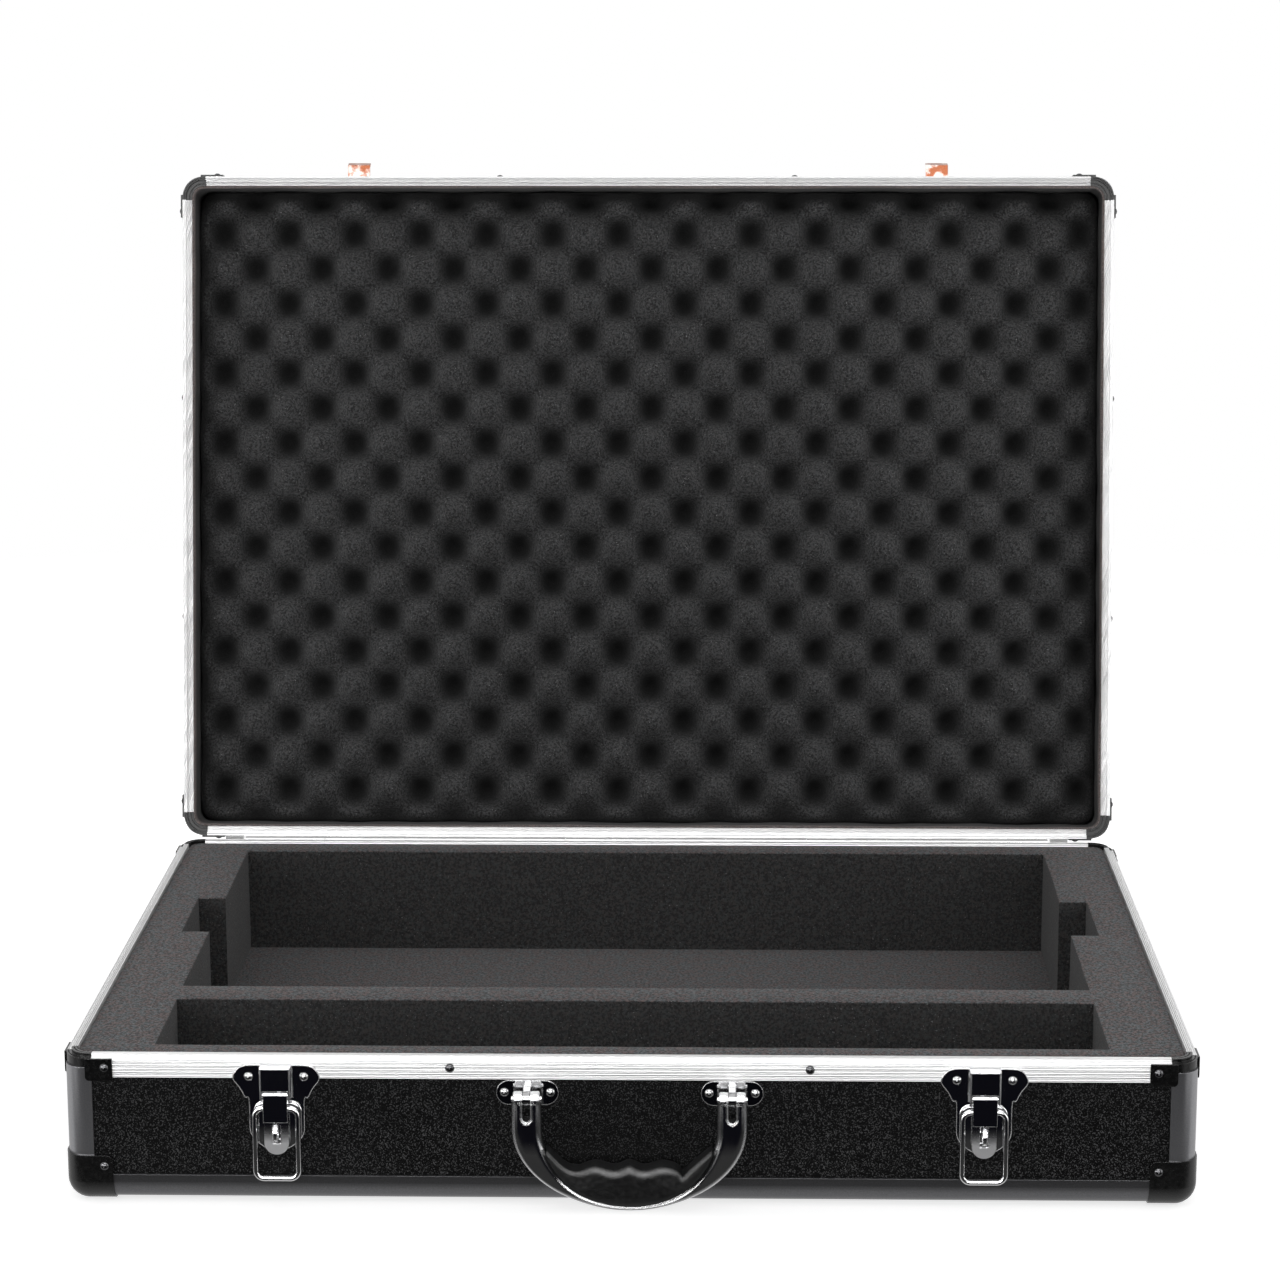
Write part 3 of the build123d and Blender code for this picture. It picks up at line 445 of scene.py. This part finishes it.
def grip_rubber():
    """Soft black grip with a satin skin."""
    tone = (0.005, 0.005, 0.0056)
    material, g, shader = new_look("grip_rubber", roughness=0.34, color=tone, Specular_IOR_Level=1.0)
    skin = g.noise(350, 2.0)
    g.put(shader.inputs["Roughness"], g.map_range(skin, 0.3, 0.7, 0.28, 0.4))
    g.put(shader.inputs["Normal"], g.bump(skin, 0.05, 0.0003, edge_normal(g, 0.004)))
    return material


def paint(material, *names):
    """Gives nodes of the model a material. A name that ends in * stands for all that start so."""
    for name in names:
        for node, piece in frame["nodes"].items():
            if node == name or (name[-1] == "*" and node.startswith(name[:-1])):
                piece.data.materials.clear()
                piece.data.materials.append(material)


def dress_frame():
    """Gives every node its material. Later calls of paint override earlier ones."""
    black = laminate()
    satin = extrusion("dark_extrusion", 0.09, 0.17)
    # The posts get a lighter copy of the same satin: painted light, for the light on their rounded
    # faces.
    lit_satin = extrusion("dark_post_lit", 0.26, 0.38)
    rims = {
        ("base", "front"): bright_rim("rim_base_front", (0, 1, 1)),
        ("base", "left"): bright_rim("rim_base_side", (1, 0, 1)),
        ("lid", "front"): bright_rim("rim_lid_front", (0, 1, 0.7)),
        ("lid", "left"): bright_rim("rim_lid_side", (1, -sin(OPEN_ANGLE), cos(OPEN_ANGLE))),
    }
    partner = {"front": "front", "rear": "front", "left": "left", "right": "left"}
    for half in ("base", "lid"):
        paint(lit_satin, f"{half}_posts")
        for side in ("front", "rear", "left", "right"):
            paint(black, f"{half}_{side}_panel")
            paint(satin, f"{half}_{side}_edge")
            paint(rims[half, partner[side]], f"{half}_{side}_rim")
    paint(black, "base_floor_panel", "lid_top_panel")
    black_plastic = moulding("black_moulding", 0.24, 0.005)
    paint(black_plastic, "base_ball_corners", "lid_ball_corners", "base_rim_corners")
    # The lid's rim corners are the same black moulding as the base's, made lighter: painted sheen, for
    # the light their ridges reflect.
    paint(moulding("black_moulding_lit", 0.3, 0.03), "lid_rim_corners")
    paint(dark_rivet(), "base_rivets", "lid_rivets")
    paint(chrome("chrome_pressing", 0.0014), "latch_*", "handle_*")
    paint(chrome("chrome_casting", 0.003), "handle_frame")
    paint(chrome("chrome_turning", 0.0004), "handle_pins", "latch_bail_*", "latch_pins")
    paint(chrome("chrome_bracket", 0.001, 0.48), "handle_brackets")
    paint(chrome("chrome_rivet", 0.0003, 0.42), "latch_rivets", "handle_bracket_rivets")
    for node in ("latch_lever_left", "latch_lever_right"):
        paint(lever_plate(node), node)
    paint(copper_plate(), "latch_catches")
    paint(grip_rubber(), "handle_grip")
    paint(hinge_steel(), "hinge_*")


# ---------------------------------------------------------------- outlines
def rounded_rect(half_x, half_y, radius, step):
    """Points of a rounded rectangle, counter-clockwise, no further apart than the step."""
    points = []
    turns = 6
    for quarter in range(4):
        angle = quarter * pi / 2
        cx = (half_x - radius) * (1 if quarter in (0, 3) else -1)
        cy = (half_y - radius) * (1 if quarter in (0, 1) else -1)
        for i in range(turns + 1):
            a = angle + i / turns * pi / 2
            points.append((cx + radius * cos(a), cy + radius * sin(a)))
    return dense(points, step)


def dense(points, step):
    """A closed outline with long sides divided."""
    out = []
    for (x0, y0), (x1, y1) in zip(points, points[1:] + points[:1]):
        count = max(1, round(hypot(x1 - x0, y1 - y0) / step))
        out += [(x0 + (x1 - x0) * i / count, y0 + (y1 - y0) * i / count) for i in range(count)]
    return out


def inward(points):
    """Left-hand normals of a closed outline, lengthened at corners so that offsets stay parallel."""
    p = np.array(points)
    before = p - np.roll(p, 1, 0)
    after = np.roll(p, -1, 0) - p
    before /= np.linalg.norm(before, axis=1)[:, None]
    after /= np.linalg.norm(after, axis=1)[:, None]
    n1 = np.stack([-before[:, 1], before[:, 0]], 1)
    n2 = np.stack([-after[:, 1], after[:, 0]], 1)
    total = n1 + n2
    return total / np.maximum((total * n2).sum(1), 0.3)[:, None]


def new_piece(name, verts, faces, material):
    """A smooth-shaded object made of points and faces."""
    mesh = bpy.data.meshes.new(name)
    mesh.from_pydata([tuple(v) for v in verts], [], faces)
    mesh.validate()
    mesh.materials.append(material)
    mesh.shade_smooth()
    piece = bpy.data.objects.new(name, mesh)
    bpy.context.scene.collection.objects.link(piece)
    return piece


# ---------------------------------------------------------------- foam in the base
def cut_foam(name, outline, holes, z0, z1, material, wall=None):
    """A block of foam with holes through it: rounded top edges and slightly uneven walls."""
    bm = bmesh.new()
    top_edges = []
    low_edges = []
    steps = 3
    angles = [i / steps * pi / 2 for i in range(steps + 1)]
    levels = [(CUT_EDGE * (1 - sin(a)), z1 - CUT_EDGE * (1 - cos(a))) for a in angles]
    levels += [(0, z1 - CUT_EDGE - (z1 - CUT_EDGE - z0) * i / 6) for i in range(1, 7)]
    for loop in [outline, *holes]:
        p = np.array(loop)
        n = inward(loop)
        rings = []
        for offset, z in levels:
            ring = []
            for (x, y), (nx, ny) in zip(p, n):
                stray = 0.0
                if loop is not outline:
                    stray = CUT_WAVE * noise.noise(Vector((x / 35, y / 35, z / 60)))
                across, along = x + nx * (offset + stray), y + ny * (offset + stray)
                ring.append(bm.verts.new((across * MM, along * MM + MIDDLE_Y, z * MM)))
            rings.append(ring)
        for upper, lower in zip(rings, rings[1:]):
            for i in range(len(upper)):
                j = (i + 1) % len(upper)
                bm.faces.new((upper[j], upper[i], lower[i], lower[j]))
        bm.edges.ensure_lookup_table()
        for ring, edges in ((rings[0], top_edges), (rings[-1], low_edges)):
            for i in range(len(ring)):
                edges.append(bm.edges.get((ring[i], ring[(i + 1) % len(ring)])))
    for edges in (top_edges, low_edges):
        bmesh.ops.triangle_fill(bm, use_beauty=True, use_dissolve=False, edges=edges)
    bmesh.ops.recalc_face_normals(bm, faces=bm.faces)
    mesh = bpy.data.meshes.new(name)
    bm.to_mesh(mesh)
    bm.free()
    mesh.materials.append(material)
    # Steep faces get the second material when one is given; for the base insert it is a darker copy of
    # the foam, painted shade.
    if wall:
        mesh.materials.append(wall)
        for face in mesh.polygons:
            face.material_index = int(abs(face.normal.z) < 0.5)
    mesh.shade_smooth()
    mesh.set_sharp_from_angle(angle=radians(50))
    piece = bpy.data.objects.new(name, mesh)
    bpy.context.scene.collection.objects.link(piece)
    return piece


def base_foam():
    """The insert with its pocket, finger notches and accessory bay, and the pad under it."""
    material = foam(
        "base_foam", (0.02, 0.02, 0.021, 1), (0.17, 0.167, 0.165, 1),
        (1.0, 0.74, 0.72, 1), (0.8, 0.93, 1.0, 1), 560,
    )
    # The cut walls get a darker copy of the foam: painted shade, for the shade down the walls of the
    # pocket and bay.
    wall = foam(
        "base_foam_wall_shaded", (0.013, 0.013, 0.0135, 1), (0.07, 0.069, 0.068, 1),
        (1.0, 0.9, 0.88, 1), (0.9, 0.97, 1.0, 1), 600,
    )
    half_x = INSERT_HIGH.x / MM
    half_y = (INSERT_HIGH.y - INSERT_LOW.y) / 2 / MM
    outline = rounded_rect(half_x, half_y, FOAM_CORNER, 12)
    pocket = [
        (-POCKET_HALF, POCKET_FRONT), (-POCKET_HALF, NOTCH_FRONT), (-NOTCH_HALF, NOTCH_FRONT),
        (-NOTCH_HALF, NOTCH_BACK), (-POCKET_HALF, NOTCH_BACK), (-POCKET_HALF, POCKET_BACK),
        (POCKET_HALF, POCKET_BACK), (POCKET_HALF, NOTCH_BACK), (NOTCH_HALF, NOTCH_BACK),
        (NOTCH_HALF, NOTCH_FRONT), (POCKET_HALF, NOTCH_FRONT), (POCKET_HALF, POCKET_FRONT),
    ]
    bay = [
        (-POCKET_HALF, BAY_FRONT), (-POCKET_HALF, BAY_BACK),
        (POCKET_HALF, BAY_BACK), (POCKET_HALF, BAY_FRONT),
    ]
    holes = [dense(pocket, 9), dense(bay, 9)]
    z0, z1 = INSERT_LOW.z / MM, INSERT_HIGH.z / MM
    insert = cut_foam("foam_insert_cut", outline, holes, z0, z1, material, wall)
    pad = cut_foam("foam_floor_cut", outline, [], PAD_LOW.z / MM, PAD_HIGH.z / MM, material)
    for piece, node in ((insert, "foam_insert"), (pad, "foam_floor_pad")):
        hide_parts(node)
        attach(piece, "base")


# ---------------------------------------------------------------- foam and liner in the lid
def in_lid(x, s, depth):
    """Points of the open lid, in metres, from arrays of lid measures in millimetres."""
    x, s, depth = np.broadcast_arrays(x, s, depth)
    y = HINGE_AT.y - s * MM
    z = HINGE_AT.z + (LID_GAP + depth) * MM
    closed = np.stack([x * MM, y, z, np.ones_like(y)], -1)
    swing = Matrix.Rotation(-OPEN_ANGLE, 4, "X")
    turn = Matrix.Translation(HINGE_AT) @ swing @ Matrix.Translation(-HINGE_AT)
    return (closed @ np.array(turn).T)[..., :3]


def squared_to_round(x, s, half_x, half_s, radius):
    """Pulls the corners of a rectangular grid in to a rounded corner."""
    dx = np.clip((np.abs(x) - half_x + radius) / radius, 0, 1)
    ds = np.clip((np.abs(s) - half_s + radius) / radius, 0, 1)
    both = (dx > 0) & (ds > 0)
    rx = dx * np.sqrt(1 - ds**2 / 2)
    rs = ds * np.sqrt(1 - dx**2 / 2)
    x = np.where(both, np.sign(x) * (half_x - radius + radius * rx), x)
    s = np.where(both, np.sign(s) * (half_s - radius + radius * rs), s)
    return x, s


def store_painted_shade(piece, values):
    """Stores, for each point, how much painted shade darkens its colour; the foam's material reads it.
    """
    layer = piece.data.attributes.new("painted_shade", "FLOAT", "POINT")
    layer.data.foreach_set("value", values.astype(np.float32))


def egg_crate():
    """Foam pad whose surface is a field of round peaks, rolled over at its edges."""
    inset = LINER_T + PAD_GAP
    half_x = LID_HALF - inset
    half_s = (LID_FAR - LID_NEAR) / 2 - inset
    middle = (LID_FAR + LID_NEAR) / 2
    nx = round(2 * half_x / PAD_STEP)
    ns = round(2 * half_s / PAD_STEP)
    gx, gs = np.meshgrid(np.linspace(-half_x, half_x, nx + 1), np.linspace(-half_s, half_s, ns + 1))
    x, s = squared_to_round(gx, gs, half_x, half_s, PAD_CORNER)
    edge = np.minimum(half_x - np.abs(gx), half_s - np.abs(gs))
    far = half_s - gs
    s = s + middle
    peaks = np.cos(2 * pi * (x - PHASE_X) / PITCH_X) * np.cos(2 * pi * (s - PHASE_S) / PITCH_S)
    sway = np.array([noise.noise(Vector((a / 70, b / 70, 0))) for a, b in zip(x.ravel(), s.ravel())])
    fade = np.clip(edge / EDGE_BLEND, 0, 1)
    fade = fade * fade * (3 - 2 * fade)
    brow = np.clip(1 - far / BROW_REACH, 0, 1)
    swing = PEAK_SWING * (1 + 0.08 * sway.reshape(x.shape)) * (0.35 + 0.65 * fade)
    roll = np.clip(1 - edge / PAD_ROUND, 0, 1)
    depth = PEAK_DEPTH + PEAK_SWING - swing * peaks + PAD_ROUND * (1 - np.sqrt(1 - roll**2))
    pits = PIT_EXTRA * np.clip(-peaks, 0, 1) ** 2 * fade
    depth = depth + EDGE_SINK * (1 - fade) + pits + BROW_SINK * brow
    depth = np.minimum(depth, LID_FLOOR - PAD_LEAST)
    top = in_lid(x, s, depth).reshape(-1, 3)
    index = np.arange(top.shape[0]).reshape(x.shape)
    faces = np.stack([index[:-1, :-1], index[:-1, 1:], index[1:, 1:], index[1:, :-1]], -1).reshape(-1, 4)
    rim = np.concatenate([index[0, :-1], index[:-1, -1], index[-1, :0:-1], index[:0:-1, 0]])
    low = in_lid(x.ravel()[rim], s.ravel()[rim], np.full(len(rim), LID_FLOOR))
    start = len(top)
    faces = [tuple(int(i) for i in f) for f in faces]
    for i in range(len(rim)):
        j = (i + 1) % len(rim)
        faces.append((int(rim[j]), int(rim[i]), start + i, start + j))
    faces.append(tuple(range(start + len(rim) - 1, start - 1, -1)))
    # The pad's colour is darkened by the painted shade stored below.
    material = foam(
        "lid_foam", (0.014, 0.014, 0.0145, 1), (0.098, 0.098, 0.1, 1),
        (1.0, 0.98, 0.97, 1), (0.97, 0.99, 1.0, 1), 620, painted_shade=0.9,
    )
    pad = new_piece("egg_crate_pad", np.concatenate([top, low]), faces, material)
    # Painted shade: darkest in the pits, darker along the edges and near the front wall of the lid, and
    # full on the sides and underside.
    painted_shade = np.clip(0.5 - 0.5 * peaks * fade + 0.25 * (1 - fade) + 0.5 * np.sqrt(brow), 0, 1)
    store_painted_shade(pad, np.concatenate([painted_shade.ravel(), np.ones(len(low))]))
    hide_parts("lid_foam")
    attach(pad, "lid")


def liner():
    """A soft strip glued round the lid's walls, a little wavy where it shows above the foam; its colour
    darkens with depth, as painted shade.
    """
    middle = (LID_FAR + LID_NEAR) / 2
    outline = rounded_rect(LID_HALF, (LID_FAR - LID_NEAR) / 2, LINER_CORNER, 6)
    p = np.array(outline)
    n = inward(outline)
    stray = np.array([noise.noise(Vector((a / 60, b / 60, 7.3))) for a, b in outline])
    ruck = np.array([noise.noise(Vector((a / 16, b / 16, 3.1))) for a, b in outline])
    thick = LINER_T + LINER_WAVE * (0.8 * stray + 0.3 * ruck)
    section = [(0, LID_FLOOR), (0, LINER_DROP + 0.5), (0.25, LINER_DROP), (0.7, LINER_DROP)]
    section += [(1.0, LINER_DROP + 0.7), (1.0, 6.0), (1.0, 14.0), (1.0, LID_FLOOR)]
    rings = []
    for share, depth in section:
        q = p + n * (share * thick)[:, None]
        rings.append(in_lid(q[:, 0], q[:, 1] + middle, depth + 0.3 * ruck * (depth < 5)))
    count = len(outline)
    faces = []
    for k in range(len(rings)):
        m = (k + 1) % len(rings)
        for i in range(count):
            j = (i + 1) % count
            faces.append((k * count + i, k * count + j, m * count + j, m * count + i))
    material = foam(
        "liner_felt", (0.13, 0.113, 0.11, 1), (0.32, 0.275, 0.262, 1),
        (1.0, 0.93, 0.9, 1), (0.95, 0.97, 1.0, 1), 900, painted_shade=0.95,
    )
    strip = new_piece("liner_strip", np.concatenate(rings), faces, material)
    # Painted shade: the strip darkens with depth below the rim plane, nearly black down the wall.
    depth_shade = [np.interp(depth, (2, 6, 14), (0.3, 0.6, 1.0)) for _, depth in section]
    store_painted_shade(strip, np.repeat(depth_shade, count))
    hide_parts("lid_liner")
    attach(strip, "lid")


bpy.context.scene.view_settings.view_transform = "Standard"
make_camera()
make_world()
make_lights()
make_floor()
dress_frame()
base_foam()
egg_crate()
liner()
